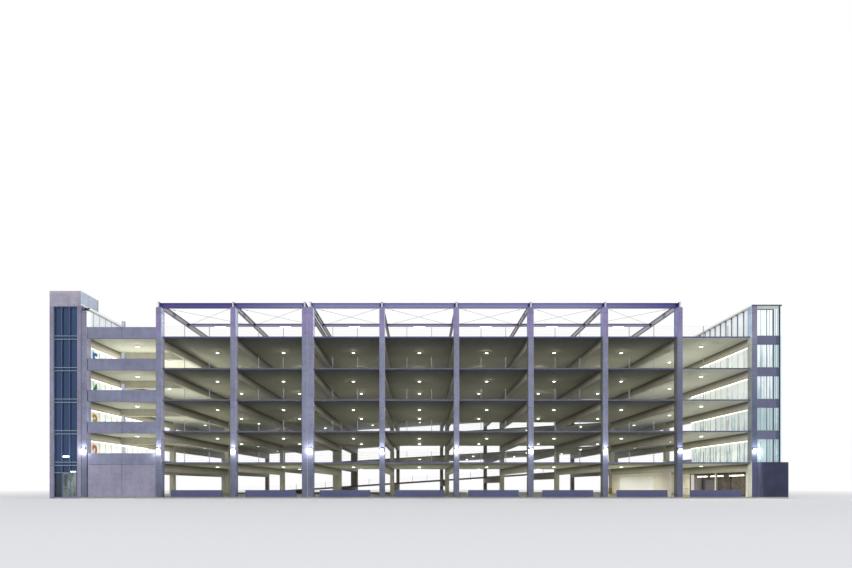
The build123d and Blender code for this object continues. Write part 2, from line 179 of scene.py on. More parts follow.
class Tree:
    """The nodes of a material or of the world."""

    def __init__(self, owner):
        owner.use_nodes = True
        self.nodes = owner.node_tree.nodes
        self.links = owner.node_tree.links

    def node(self, kind, inputs=None, **settings):
        """Add a node; its inputs are given by number or name."""
        node = self.nodes.new(f"ShaderNode{kind}")
        for key, value in settings.items():
            setattr(node, key, value)
        for key, value in (inputs or {}).items():
            self.feed(node.inputs[key], value)
        return node

    def feed(self, socket, value):
        """Put a number, a colour or another node's output in a socket."""
        if isinstance(value, Value):
            value = value.socket
        if isinstance(value, bpy.types.NodeSocket):
            self.links.new(value, socket)
        elif socket.type == "RGBA" and len(value) == 3:
            socket.default_value = (*value, 1)
        else:
            socket.default_value = value

    def math(self, operation, *values):
        node = self.node("Math", dict(enumerate(values)), operation=operation)
        return Value(self, node.outputs[0])

    def seen_rays(self):
        """1 for the camera, glossy and transmission rays."""
        path = self.node("LightPath").outputs
        kinds = [Value(self, path[f"Is {kind} Ray"]) for kind in ("Camera", "Glossy", "Transmission")]
        return kinds[0] | kinds[1] | kinds[2]


class Finish(Tree):
    """A procedural material in the making. Its coordinates are metres in the building's frame."""

    def __init__(self, name, roughness=0.8, metallic=0.0):
        self.name = name
        self.material = bpy.data.materials.new(name)
        super().__init__(self.material)
        self.shader = self.nodes["Principled BSDF"]
        self.set("Roughness", roughness)
        self.set("Metallic", metallic)
        self.place = self.node("TexCoord").outputs["Object"]
        self.x, self.y, self.z = self.parts(self.place)
        self.facing_x, self.facing_y, self.facing_z = self.parts(self.node("NewGeometry").outputs["Normal"])

    def set(self, socket, value):
        self.feed(self.shader.inputs[socket], value)

    def parts(self, vector):
        return [Value(self, output) for output in self.node("SeparateXYZ", {0: vector}).outputs]

    def noise(self, scale, detail, stretch=(1, 1, 1), roughness=0.6):
        """Cloudy values about 0.5; a stretch below 1 makes them longer along that axis."""
        place = self.node("VectorMath", {0: self.place, 1: stretch}, operation="MULTIPLY")
        inputs = {"Vector": place.outputs[0], "Scale": scale, "Detail": detail, "Roughness": roughness}
        return Value(self, self.node("TexNoise", inputs).outputs[0])

    def sideways(self):
        """1 on faces that look along X."""
        return abs(self.facing_x).between(0.4, 0.6)

    def mix(self, factor, first, second):
        """The first colour where the factor is 0, the second where it is 1."""
        inputs = {0: factor, 6: paint(first), 7: paint(second)}
        return self.node("Mix", inputs, data_type="RGBA").outputs[2]

    def layers(self, colour, *coats):
        """A colour under coats of (mask, colour), each laid over the ones before it."""
        for mask, coat in coats:
            colour = self.mix(mask, colour, coat)
        return colour

    def scale(self, colour, amount):
        """The colour times an amount."""
        return self.node("VectorMath", {0: paint(colour), 3: amount}, operation="SCALE").outputs[0]

    def tone(self, colour, *parts):
        """The colour made lighter or darker by each (values about 0.5, strength) pair."""
        amount = 1.0
        for values, strength in parts:
            amount = (values - 0.5) * strength + amount
        return self.scale(colour, amount)

    def darken(self, colour, mask, share):
        """The colour made darker by a share of itself where the mask is 1."""
        return self.scale(colour, self.math("SUBTRACT", 1.0, mask * share))

    def bump(self, height, strength, distance):
        node = self.node("Bump", {"Height": height, "Strength": strength, "Distance": distance})
        self.set("Normal", node.outputs[0])

    def show(self, colour):
        """Set the colour and keep the finished material under its name."""
        self.set("Base Color", colour)
        finishes[self.name] = self.material

    def concrete(self, colour, contrast):
        """Clouds, patches, pores and rain streaks of cast concrete, with its fine bump."""
        patches = self.noise(3.5, 4)
        grain = self.noise(60, 3)
        pores = self.noise(24, 2).between(0.33, 0.25)
        shown = self.tone(
            colour, (self.noise(0.7, 5), 0.5 * contrast), (patches, 0.28 * contrast),
            (self.noise(12, 3), 0.34 * contrast), (self.noise(5, 3, (1, 1, 0.08)), 0.22 * contrast),
            (grain, 0.12))
        self.bump(grain + pores * -1.5, 0.25, 0.004)
        self.set("Roughness", patches.between(-0.6, 1.3))
        return self.darken(shown, pores, 0.25)

    def steel(self, colour, wear=0.16, roughness=0.45):
        """Painted or galvanized steel with faint spangle and brushed streaks."""
        spangle = self.noise(14, 3)
        streaks = self.noise(8, 3, (0.3, 0.3, 1))
        grain = self.noise(120, 2)
        self.set("Roughness", spangle.between(roughness - 1.2, roughness + 1.2))
        self.bump(grain, 0.1, 0.001)
        self.show(self.tone(colour, (spangle, wear), (streaks, wear), (grain, 0.06)))


joint_drop = 0.43
joint_width = 0.022


def lift_joints(finish, shown):
    """Thin cast joints, one in each storey, a beam's depth below the deck."""
    return finish.darken(shown, finish.z.every(tops[1] - joint_drop, storey, joint_width), 0.3)


def column_finish():
    """Blue grey low down and lilac above the top deck, both painted tints of light; painted light and shade
    on the sides, pale on those that face east and dark on those that face west.
    """
    finish = Finish("column_concrete")
    x, y, z = finish.x, finish.y, finish.z
    above = z.between(tops[5] - 0.06, tops[5] - 0.02)
    ground_storey = z.between(tops[1] + 0.1, tops[1] - 0.2)
    last = x > line_x(9) - 1
    corners = (abs(x) > line_x(9) - 1) * above
    east_end = x.between(line_x(8) - 1, line_x(8) - 0.2) * z.between(tops[5], tops[3])
    stair_foot = last * z.between(tops[1] + 0.02, tops[1] - 0.02)
    inward = (y > front + 5) * finish.facing_y.between(0.6, 0.3)
    # Painted light and shade on the side faces, by the way they face: pale towards the east, dark towards the
    # west, brighter above the top deck.
    painted_east_sides = finish.layers((146, 145, 166), (ground_storey, (106, 110, 132)), (above, (180, 190, 212)))
    painted_last_west_side = finish.layers(
        (110, 116, 118), (z.between(tops[4] - 0.1, tops[4] + 0.1), (158, 164, 158)),
        (ground_storey, (172, 174, 164)))
    painted_west_sides_above = finish.mix(last, (112, 122, 162), (158, 174, 194))
    painted_west_sides = finish.layers((84, 86, 84), (last, painted_last_west_side), (above, painted_west_sides_above))
    side = finish.mix(finish.facing_x.between(-0.3, -0.6), painted_east_sides, painted_west_sides)
    # The darker foot of the column and the lilac above the top deck are painted tints of light.
    shade = finish.layers(
        (94, 98, 119),
        (z.between(tops[0], tops[2]), (127, 130, 153)),
        (above, (138, 129, 168)),
        (corners, (128, 126, 146)),
        (east_end * 0.9, (84, 91, 116)),
        (stair_foot, (72, 76, 106)),
        (finish.sideways(), side),
        (inward, (146, 146, 134)))
    finish.show(lift_joints(finish, finish.concrete(shade, 1.8)))


def inner_column_finish():
    finish = Finish("inner_column_concrete")
    finish.show(lift_joints(finish, finish.concrete((178, 177, 160), 1.3)))


stall_length = 2.4
stall_line = 0.05
stalls_in_bay = 3
formwork_line = 0.008


def stall_lines(finish):
    """Worn white lines between the parking stalls, in a row along each side of both modules."""
    x, y = finish.x, finish.y
    behind = middle_row + column_depth
    inside = 0.0
    for start, end in ((slab_front + 0.1, slab_front + stall_length), (middle_row - stall_length, middle_row),
                       (behind, behind + stall_length), (rear - 0.3 - stall_length, rear - 0.3)):
        inside = y.near((start + end) / 2, end - start) + inside
    worn = finish.noise(18, 4).between(0.3, 0.45)
    inner_bays = (x > line_x(1) - 0.1) * (x < line_x(8) + 0.1)
    return x.every(first_line, bay / stalls_in_bay, stall_line) * inside * worn * inner_bays


def deck_finish():
    """Olive soffits with formwork lines, blue grey edges, and a broomed top with stall lines; the soffits
    carry painted light and shade, dark in the upper storeys and at the front, paler further in and in the end
    bays.
    """
    finish = Finish("deck_concrete")
    x, y, z = finish.x, finish.y, finish.z
    below = finish.facing_z.between(-0.3, -0.6)
    above = finish.facing_z.between(0.3, 0.6)
    upper = z.between(tops[1] + 0.2, tops[2] - 0.2)
    end_bays = abs(x).between(line_x(8) - 0.3, line_x(8) + 0.3)
    edge = finish.mix(z.between(tops[4], tops[5]), (90, 92, 112), (80, 84, 120))
    # Painted light and shade on the soffits: dark in the upper storeys and near the front, paler further in
    # and in the end bays.
    soffit_painted_light_and_shade = finish.layers(
        (124, 125, 108),
        (upper, (58, 61, 65)),
        (y.between(front, front + 4.5), (184, 185, 165)),
        (end_bays, (186, 188, 174)))
    shown = finish.concrete(finish.layers(edge, (below, soffit_painted_light_and_shade), (above, (150, 149, 146))), 0.7)
    for lines in (y.every(front, 0.61, formwork_line), x.every(first_line, 1.25, formwork_line)):
        shown = finish.darken(shown, lines * below, 0.16)
    finish.show(finish.mix(stall_lines(finish) * above, shown, (214, 212, 204)))


def beam_finish():
    """Painted shade dark where a beam meets the slab, and painted light pale along its foot and towards the
    front.
    """
    finish = Finish("beam_concrete")
    # Painted shade and light on the beams: dark near the slab, pale along the foot and towards the front.
    below_slab = finish.math("SUBTRACT", tops[1] - slab, finish.z) % storey
    outer = finish.y.between(front + 5, front + 0.5)
    foot = finish.mix(outer, (170, 168, 150), (226, 218, 204))
    shade = finish.mix(below_slab.between(beam * 0.1, beam * 0.7), (96, 94, 82), foot)
    deck_side = finish.sideways() * (finish.y < middle_row)
    shown = finish.concrete(finish.mix(deck_side, (172, 171, 156), shade), 0.8)
    finish.show(finish.darken(shown, finish.y.every(front, 1.22, 0.01), 0.18))


def spandrel_finish():
    """Precast panels with a darker foot, faint rain marks and small form tie spots."""
    finish = Finish("spandrel_concrete")
    foot = finish.z.every(tops[1] - 0.125, storey, 0.02)
    ties = finish.x.every(first_line + 0.3, 0.84, 0.025) * finish.z.every(tops[1] + 0.02, storey, 0.025)
    shown = finish.darken(finish.concrete((124, 127, 150), 1.6), ties, 0.3)
    finish.show(finish.darken(shown, foot, 0.2))


def ground_wall_finish():
    finish = Finish("ground_wall_concrete")
    boards = finish.z.every(ground_top, 0.3, 0.012)
    finish.show(finish.darken(finish.concrete((142, 140, 160), 1.6), boards, 0.16))


cap_rear_strip = 0.09


def tower_finish():
    """Precast tower panels with a joint below each level, and the paler header on top, whose east face is
    painted near white as painted light.
    """
    finish = Finish("tower_concrete")
    z = finish.z
    in_cap = z > cap_foot
    # The header's east face is painted near white as painted light.
    east = finish.facing_x.between(0.3, 0.6) * in_cap
    rim = z.between(cap_top - 0.14, cap_top - 0.12)
    shade = finish.layers((134, 132, 153), (in_cap, (156, 153, 168)), (rim, (172, 160, 170)),
                          (east, (226, 236, 252)))
    joints = z.every(tops[1] - transom_drop, storey, joint_width) * (z < cap_foot - 0.1)
    shown = finish.darken(finish.concrete(shade, 1.8), joints, 0.4)
    cap_depth = cap_back - front
    for place in (front + cap_depth / 8, front + cap_depth / 2, cap_back - cap_rear_strip):
        shown = finish.darken(shown, finish.y.near(place, 0.02) * east, 0.25)
    finish.show(shown)


base_panel = 0.86
base_joint = 0.014


def base_finish():
    """Dark board marked base with blotches and panel joints, painted lamp light in paler streaks at its west
    end, and a plain brown pattern inside.
    """
    finish = Finish("base_concrete")
    x = finish.x
    inside = finish.facing_x.between(-0.3, -0.6)
    runs = finish.noise(9, 2, (1, 1, 0.04)).between(0.4, 0.6) * 0.6 + 0.3
    blots = finish.noise(11, 5, (1, 1, 0.5), roughness=0.8).between(0.5, 0.58)
    pattern = finish.layers(
        (30, 24, 26), (blots, (176, 124, 104)), (finish.y.every(front, 0.42, 0.05), (20, 16, 20)))
    shade = finish.tone((44, 49, 75), (finish.noise(1.8, 3, roughness=0.4), 1.0))
    # Painted lamp light, paler in streaks towards the column.
    painted_lamp_light = x.between(east_face + 0.35, east_face) * runs
    shade = finish.layers(shade, (painted_lamp_light, (128, 126, 158)), (inside, pattern))
    joints = [finish.z.every(ground_top + base_panel, base_panel, base_joint)]
    joints += [x.near(place, base_joint) for place in (east_face + 0.11, east_face + 0.9)]
    shown = finish.concrete(shade, 1.4)
    for joint in joints:
        shown = finish.darken(shown, joint, 0.3)
    finish.show(shown)


def stair_spandrel_finish():
    """Lilac spandrels, dark next to the corner post."""
    finish = Finish("stair_spandrel_concrete")
    corner = high("stair_spandrels").x
    toward_corner = finish.x.between(corner - 0.2, corner - 0.12)
    shade = finish.mix(toward_corner, (100, 102, 128), (74, 82, 108))
    finish.show(finish.concrete(shade, 0.8))


def frame_steel_finish():
    """Painted roof steel: darker in the outer bays as a painted reflection, pale lilac in the middle, with
    painted light on the inward sides and undersides and painted shade on the tops and backs.
    """
    finish = Finish("frame_steel", 0.45, 0.2)
    y, facing_y, facing_z = finish.y, finish.facing_y, finish.facing_z
    outer = abs(finish.x - 1.5).between(6.5, 11.5)
    behind = y > front + 0.6
    painted_shade_tops_and_backs = facing_z.between(0.3, 0.6) | facing_y.between(0.3, 0.6)
    # Painted reflection and painted light and shade: darker outer bays, brighter inward sides and undersides,
    # darker tops and backs.
    finish.steel(finish.layers(
        (134, 134, 178),
        (outer, (80, 76, 136)),
        (finish.sideways() * (y > front + 0.3), (196, 190, 200)),
        ((facing_y < -0.5) * behind, (158, 150, 182)),
        ((facing_z < -0.5) * behind, (176, 164, 172)),
        (painted_shade_tops_and_backs, (122, 120, 150))))


def cladding_finish():
    """Roof membrane: grey on top, dark on the front edge, and pale on the side edges and below, where it also
    glows as painted light.
    """
    finish = Finish("roof_cladding", 0.6)
    pale = finish.sideways() | (finish.facing_z < -0.5)
    shade = finish.layers(
        (52, 48, 66), (finish.facing_z.between(0.3, 0.6), (138, 140, 144)), (pale, (214, 218, 212)))
    # The pale sides and underside glow as painted light.
    finish.set("Emission Color", shade)
    finish.set("Emission Strength", pale * 0.24)
    finish.show(finish.tone(shade, (finish.noise(3, 4), 0.3), (finish.noise(40, 3), 0.15)))


def dark_glass_finish():
    """Blue tinted glass, painted dark as the painted shade of the stair behind it, with uneven painted
    reflections in upright streaks.
    """
    finish = Finish("dark_glass", 0.06)
    # Painted reflections: a broad drift and upright gleam streaks.
    drift = finish.noise(0.9, 3, (1, 1, 0.3))
    gleam = finish.noise(3, 2, (1, 1, 0.05))
    low_down = finish.z.between(tops[1], tops[0] + 0.6)
    finish.set("Transmission Weight", 0.2)
    finish.bump(finish.noise(2.2, 2), 0.05, 0.01)
    shade = finish.mix(low_down, (30, 64, 104), (28, 50, 66))
    finish.show(finish.tone(shade, (drift, 0.9), (gleam, 0.6)))


def window_glass_finish():
    """Clear, slightly brown glass of the wide window, with faint reflections."""
    finish = Finish("window_glass", 0.03)
    finish.set("Transmission Weight", 0.92)
    finish.set("IOR", 1.3)
    finish.show(finish.tone((214, 206, 200), (finish.noise(1.6, 4, (1, 1, 0.5)), 0.2)))


def door_glass_finish():
    finish = Finish("door_glass", 0.05)
    finish.set("Transmission Weight", 0.2)
    drift = finish.noise(3.5, 4, (1, 1, 0.25)).between(0.4, 0.62)
    finish.show(finish.mix(drift, (62, 76, 78), (160, 174, 166)))


corner_pane = 18.01


def translucent_finish():
    """White channel glass with a painted glow that stands in for light from inside: upright ribs, milky
    streaks, a faint green tint.
    """
    finish = Finish("translucent_glass", 0.35)
    x, y, z = finish.x, finish.y, finish.z
    streaks = finish.noise(7, 3, (1, 1, 0.05))
    blots = finish.noise(2.6, 3, (1, 1, 0.8))
    toward_top = ((z - tops[1]) % storey).between(0.1, 0.95)
    milky = (streaks * 0.75 + blots * 0.25 + toward_top * 0.06).between(0.42, 0.6)
    facade = y < front + 0.1
    clear = z.between(tops[2], tops[3] + 0.6) * (y > front + 0.1)
    lower = facade * z.between(tops[3] - 0.1, tops[3] - 0.5) * (x > 0.0)
    channels = x.every(0.06, 0.165, 0.075) * facade * z.between(tops[5], tops[2])
    patches = finish.noise(3.1, 2).between(0.42, 0.56) * z.between(tops[3], tops[2])
    pane = finish.mix(patches * 0.6, (178, 202, 206), (96, 122, 122))
    corner_edge = (x > corner_pane + 0.17) * y.between(front + 0.16, front + 0.12)
    roof_storey = z.between(tops[5], tops[5] + 0.05)
    # The whiter upper storeys and roof storey and the darker lower front are painted light and shade.
    shade = finish.layers(
        (148, 172, 178),
        (milky, (246, 251, 248)),
        ((x < 0.0) * 0.75, (250, 253, 248)),
        (clear * 0.55, (250, 253, 251)),
        (lower * 0.7, (112, 146, 150)),
        (channels * 0.55, (112, 136, 150)),
        (x.near(corner_pane, 0.29) * facade, pane),
        (corner_edge, (168, 206, 222)),
        (facade * 0.35, (196, 212, 214)),
        (roof_storey * 0.5, (250, 253, 252)))
    shown = finish.darken(shade, (x + y).every(0.0, 0.13, 0.014), 0.12)
    finish.set("Transmission Weight", 0.1)
    # The emission is a painted glow that stands in for the light from inside.
    finish.set("Emission Color", shown)
    finish.set("Emission Strength", 0.27)
    finish.show(shown)


def lamp_finish(name, strength):
    finish = Finish(name, 0.4)
    finish.set("Emission Color", (1.0, 1.0, 0.92))
    finish.set("Emission Strength", strength)
    amount = (finish.noise(30, 2) - 0.5) * 0.05 + 1.0
    finish.show(finish.node("VectorMath", {0: (0.95, 0.95, 0.9), 3: amount}, operation="SCALE").outputs[0])


def hazard_finish():
    finish = Finish("hazard_stripes", 0.5)
    stripes = (finish.x + finish.y + finish.z).every(0.0, 0.15, 0.075)
    shade = finish.mix(stripes, (225, 190, 40), (40, 38, 40))
    finish.show(finish.tone(shade, (finish.noise(20, 3), 0.2)))


# Plain concretes: colour and contrast
plain_concretes = {
    "knee_concrete": (80, 84, 116, 0.8),
    "stair_concrete": (170, 168, 160, 0.8),
    "light_concrete": (226, 221, 204, 0.5),
    "ground_concrete": (150, 148, 144, 0.8),
    "white_board": (242, 242, 240, 0.15),
}
# Plain steels and paints: colour, roughness, metallic and wear
plain_steels = {
    "white_steel": (196, 200, 214, 0.5, 0.0, 0.08),
    "head_board": (192, 208, 202, 0.5, 0.0, 0.2),
    "rail_steel": (158, 158, 168, 0.4, 0.2, 0.16),
    "joint_cover": (146, 144, 164, 0.5, 0.0, 0.08),
    "bright_steel": (206, 206, 222, 0.4, 0.1, 0.16),
    "grey_steel": (150, 158, 168, 0.4, 0.3, 0.16),
    "slate_steel": (104, 112, 132, 0.45, 0.2, 0.16),
    "dark_steel": (46, 44, 62, 0.45, 0.2, 0.16),
    "window_frame": (84, 100, 134, 0.4, 0.3, 0.16),
    "mullion": (84, 92, 134, 0.45, 0.1, 0.16),
    "pale_frame": (132, 156, 172, 0.4, 0.2, 0.16),
    "door_metal": (112, 124, 132, 0.35, 0.5, 0.16),
    "yellow_paint": (228, 200, 70, 0.5, 0.0, 0.1),
    "number_paint_2": (214, 128, 84, 0.5, 0.0, 0.1),
    "number_paint_3": (214, 174, 52, 0.5, 0.0, 0.1),
    "number_paint_4": (24, 140, 92, 0.5, 0.0, 0.1),
    "number_paint_5": (18, 108, 190, 0.5, 0.0, 0.1),
}
# lit_edge is no lamp: it makes the header flashing glow as painted light.
lamp_strengths = {"lamp": 5.0, "strip_lamp": 1.6, "wall_lamp": 14.0, "inner_lamp": 9.0, "lit_edge": 0.3}
node_finishes = {
    "column_concrete": "front_columns rear_columns",
    "inner_column_concrete": "middle_columns",
    "deck_concrete": " ".join(f"deck_{n} ramp_{n}" for n in levels) + " turning_slabs",
    "beam_concrete": "deck_beams ramp_beams west_bay_beams",
    "ground_concrete": "ground_slab",
    "spandrel_concrete": "west_spandrels side_parapets",
    "ground_wall_concrete": "west_ground_wall",
    "knee_concrete": "knee_walls",
    "tower_concrete": "tower_pillars tower_walls tower_cap tower_floors",
    "base_concrete": "stair_base_walls",
    "stair_spandrel_concrete": "stair_spandrels",
    "stair_concrete": "stair_floors stair_back_wall",
    "light_concrete": "divider_wall east_ground_walls",
    "white_steel": "spandrel_posts",
    "rail_steel": "rail_posts",
    "frame_steel": "roof_cross_beams roof_edge_beams roof_purlins",
    "roof_cladding": "stair_roofs",
    "window_frame": "tower_frame door_jambs",
    "door_metal": "left_door_frame right_door_frame",
    "door_glass": "left_door_glass right_door_glass",
    "dark_glass": "tower_glass",
    "window_glass": "east_window_glass",
    "translucent_glass": "side_screens stair_front_glass stair_side_glass",
    "lamp": "ceiling_lights roof_lights wall_lights",
}
chamfered = [f"{kind}_concrete" for kind in (
    "column", "inner_column", "spandrel", "ground_wall", "knee", "tower", "base", "stair_spandrel")]
concrete_edge = 0.008


def make_finishes():
    for make in (column_finish, inner_column_finish, deck_finish, beam_finish, spandrel_finish,
                 ground_wall_finish, tower_finish, base_finish, stair_spandrel_finish, frame_steel_finish,
                 cladding_finish, dark_glass_finish, window_glass_finish, door_glass_finish,
                 translucent_finish, hazard_finish):
        make()
    for name, (*colour, contrast) in plain_concretes.items():
        finish = Finish(name)
        finish.show(finish.concrete(colour, contrast))
    for name, (*colour, roughness, metallic, wear) in plain_steels.items():
        Finish(name, roughness, metallic).steel(colour, wear, roughness)
    for name, strength in lamp_strengths.items():
        lamp_finish(name, strength)


def dress_nodes():
    """Give each node its finish, and the cast concrete pieces a small chamfer on their edges."""
    for key, names in node_finishes.items():
        for name in names.split():
            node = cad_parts[name]
            for place in node.material_slots:
                place.material = finishes[key]
            if key in chamfered:
                node.modifiers.new("joined", "WELD").merge_threshold = 0.0001
                chamfer = node.modifiers.new("chamfer", "BEVEL")
                chamfer.width = concrete_edge
                chamfer.segments = 1
                chamfer.limit_method = "ANGLE"
                chamfer.harden_normals = False


# Meshes
def about(middle, half):
    """Both ends of a stretch, from its middle and half its length."""
    return middle - half, middle + half


def ring(centre, turn, radius, height, sides, first):
    """Points of a ring about the upright axis, turned and set at a place."""
    angles = [2 * math.pi * (side + first) / sides for side in range(sides)]
    return [centre + turn @ Vector((radius * math.cos(a), radius * math.sin(a), height)) for a in angles]


class Solids:
    """Collects simple closed solids that become one joined mesh. It may start with boxes."""

    def __init__(self, *boxes):
        self.points = []
        self.faces = []
        for box in boxes:
            self.box(*box)

    def add(self, points, faces):
        start = len(self.points)
        self.points += [tuple(point) for point in points]
        self.faces += [[start + corner for corner in face] for face in faces]

    def box(self, x, y, z):
        """A box given its two ends along each axis, in any order."""
        corners = [(a, b, c) for a in sorted(x) for b in sorted(y) for c in sorted(z)]
        sides = [(0, 1, 3, 2), (4, 6, 7, 5), (0, 4, 5, 1), (2, 3, 7, 6), (0, 2, 6, 4), (1, 5, 7, 3)]
        self.add(corners, sides)

    def tube(self, rings):
        """Closed skin over rings of as many points each, with a flat face at both ends."""
        count = len(rings[0])
        faces = [list(range(count))[::-1]]
        for first in range(0, count * (len(rings) - 1), count):
            for side in range(count):
                after = (side + 1) % count
                faces.append([first + side, first + after, first + count + after, first + count + side])
        faces.append([(len(rings) - 1) * count + side for side in range(count)])
        self.add([point for row in rings for point in row], faces)

    def rod(self, start, end, radius, sides=8):
        start, end = Vector(start), Vector(end)
        turn = (end - start).to_track_quat("Z", "Y")
        self.tube([ring(place, turn, radius, 0, sides, 0.5) for place in (start, end)])

    def cable(self, span, y, foot, head):
        """A thin rail cable along a bay, from one height to another."""
        self.rod((span[0], y, foot), (span[1], y, head), cable_radius, 4)

    def turned(self, centre, profile, sides, tilt):
        """A profile of (radius, height) points turned about the upright axis, then tilted about Y."""
        turn = Matrix.Rotation(tilt, 3, "Y")
        self.tube([ring(Vector(centre), turn, radius, height, sides, 0) for radius, height in profile])

    def along_x(self, outline, start, end):
        """An outline of (y, z) points drawn out from start to end along X."""
        self.tube([[(x, y, z) for y, z in outline] for x in (start, end)])

    def piece(self, name, finish, slot="frame_steel", body="building", edge=0.0, smooth=False):
        """Make the joined mesh, give it its finish and let it ride on a body."""
        mesh = bpy.data.meshes.new(name)
        mesh.from_pydata(self.points, [], self.faces)
        shape = bmesh.new()
        shape.from_mesh(mesh)
        bmesh.ops.recalc_face_normals(shape, faces=shape.faces)
        shape.to_mesh(mesh)
        shape.free()
        obj = bpy.data.objects.new(name, mesh)
        bpy.context.scene.collection.objects.link(obj)
        mesh.materials.append(finishes[finish])
        if smooth:
            for face in mesh.polygons:
                face.use_smooth = len(face.vertices) == 4
        if edge:
            bevel = obj.modifiers.new("edge", "BEVEL")
            bevel.width = edge
            bevel.segments = 1
        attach(obj, body)
        return obj


# Rails: cables between the columns, base plates of the posts, inner rail between deck and ramp
cable_radius = 0.002
cable_rises = [0.085 * n for n in range(1, 7)]
inner_cable_rises = [0.1 * n for n in range(1, 6)]
# Least difference of height between deck and ramp that calls for a rail between them
step_height = 0.35
plate_half = 0.045
plate_reach = 0.05
plate_thickness = 0.008
front_rail_y = low("rail_posts").y + rail_post / 2
rear_rail_y = high("rail_posts").y - rail_post / 2
inner_rail_y = middle_row + column_depth / 2


def make_rail_cables():
    """Cables along the front, the rear, and the middle row where deck and ramp are at different heights."""
    fronts = Solids()
    rears = Solids()
    inner = Solids()
    for level in levels:
        top = tops[level]
        for number, span in enumerate(bays):
            foot, head = (floor_top(level, x) for x in span)
            for rise in cable_rises:
                if number > 0:
                    fronts.cable(span, front_rail_y, top + rise, top + rise)
                rears.cable(span, rear_rail_y, foot + rise, head + rise)
            if number in (0, bay_count - 1):
                continue
            for rise in inner_cable_rises:
                if top - max(foot, head) > step_height:
                    inner.cable(span, inner_rail_y, top + rise, top + rise)
                if min(foot, head) - tops[level - 1] > step_height and level > 1:
                    inner.cable(span, inner_rail_y, foot + rise, head + rise)
    fronts.piece("front_rail_cables", "rail_steel", "rail_steel")
    rears.piece("rear_rail_cables", "rail_steel", "rail_steel")
    inner.piece("inner_rail_cables", "rail_steel", "rail_steel")


def make_rail_feet():
    """Base plates of the front and rear rail posts, each with its longer side inward."""
    feet = Solids()
    outer = rail_post / 2
    for level in levels:
        for x in [line_x(k) + third * bay / 3 for k in range(bay_count) for third in (1, 2)]:
            z = floor_top(level, x)
            if x > line_x(1):
                feet.box(about(x, plate_half), (front_rail_y - outer, front_rail_y + plate_reach),
                         (tops[level], tops[level] + plate_thickness))
            if z > ground_top + 0.05:
                feet.box(about(x, plate_half), (rear_rail_y - plate_reach, rear_rail_y + outer),
                         (z, z + plate_thickness))
    feet.piece("rail_feet", "rail_steel", "rail_steel")


def make_joint_covers():
    """Pale cover strips over the seam of the paired columns, front and rear."""
    x = about(line_x(joint_line), 0.022)
    rear_top = floor_top(level_count, line_x(joint_line)) + rail_height
    covers = Solids(
        (x, (front + 0.002, front + 0.014), (ground_top, steel_foot)),
        (x, (rear - 0.014, rear - 0.002), (ground_top, rear_top)))
    covers.piece("column_joint_covers", "joint_cover", "white_steel")


# Steel frame over the roof
half_web = web_thickness / 2
half_flange = flange_width / 2
splice_place = 1.675
splice_thickness = 0.012
bolt_rows = (-0.11, -0.04, 0.04, 0.11)
bolt_radius = 0.012
brace_end = 0.07
gusset_corners = ((0.005, 0.005), (0.16, 0.005), (0.005, 0.16))
purlin_rows = (low("roof_purlins").y + half_flange, high("roof_purlins").y - half_flange)
purlin_foot = low("roof_purlins").z
purlin_top = high("roof_purlins").z
front_edge_y = low("roof_edge_beams").y + half_flange
roof_lines = [x for x in columns if line_x(0) + 0.1 < x < line_x(bay_count) - 0.1]
roof_spans = spans_between(roof_lines)


def make_roof_plates():
    """End plates, splices with bolts, the clips that hold the purlins, and dark plates beside the cross
    beams' ends as painted shadow.
    """
    ends = Solids()
    painted_shadow_plates = Solids()
    splices = Solids()
    bolts = Solids()
    clips = Solids()
    y = front + splice_place
    middle = (steel_foot + steel_top) / 2
    for x in roof_lines:
        ends.box(about(x, 0.036), (front - 0.012, front), (steel_foot, steel_top + 0.022))
        ends.box(about(x, 0.05), (front - 0.01, front + 0.09), (steel_top, steel_top + 0.012))
        if x > line_x(1) + 0.1 and abs(x - roof_lines[3]) > 0.1:
            # Dark plates left of each cross beam's end stand for the shadow there.
            painted_shadow_plates.box((x - 0.125, x - 0.05), (front_edge_y - 0.07, front_edge_y - 0.058),
                         (steel_foot + 0.01, steel_top - 0.008))
        for side in (-1, 1):
            web = x + side * half_web
            splices.box((web, web + side * splice_thickness), about(y, 0.15), about(middle, 0.085))
            for bolt_y in [y + along for along in bolt_rows]:
                for z in about(middle, 0.05):
                    bolts.rod((x, bolt_y, z), (x + side * 0.03, bolt_y, z), bolt_radius, 6)
        for z in (steel_top, steel_foot - 0.01):
            splices.box(about(x, half_flange - 0.008), about(y, 0.2), (z, z + 0.01))
    clip_heights = (purlin_foot + 0.02, purlin_top - 0.02)
    for span in roof_spans:
        for y in purlin_rows:
            for x, side in zip(span, (1, -1)):
                web = x + side * half_web
                clips.box((web, x + side * 0.1), (y - 0.017, y - half_web), clip_heights)
                clips.box((web, x + side * 0.016), about(y, 0.05), clip_heights)
    ends.piece("roof_end_plates", "bright_steel")
    painted_shadow_plates.piece("roof_end_shadow_plates", "dark_steel")
    splices.piece("roof_splice_plates", "grey_steel")
    bolts.piece("roof_splice_bolts", "dark_steel")
    clips.piece("purlin_clips", "dark_steel")


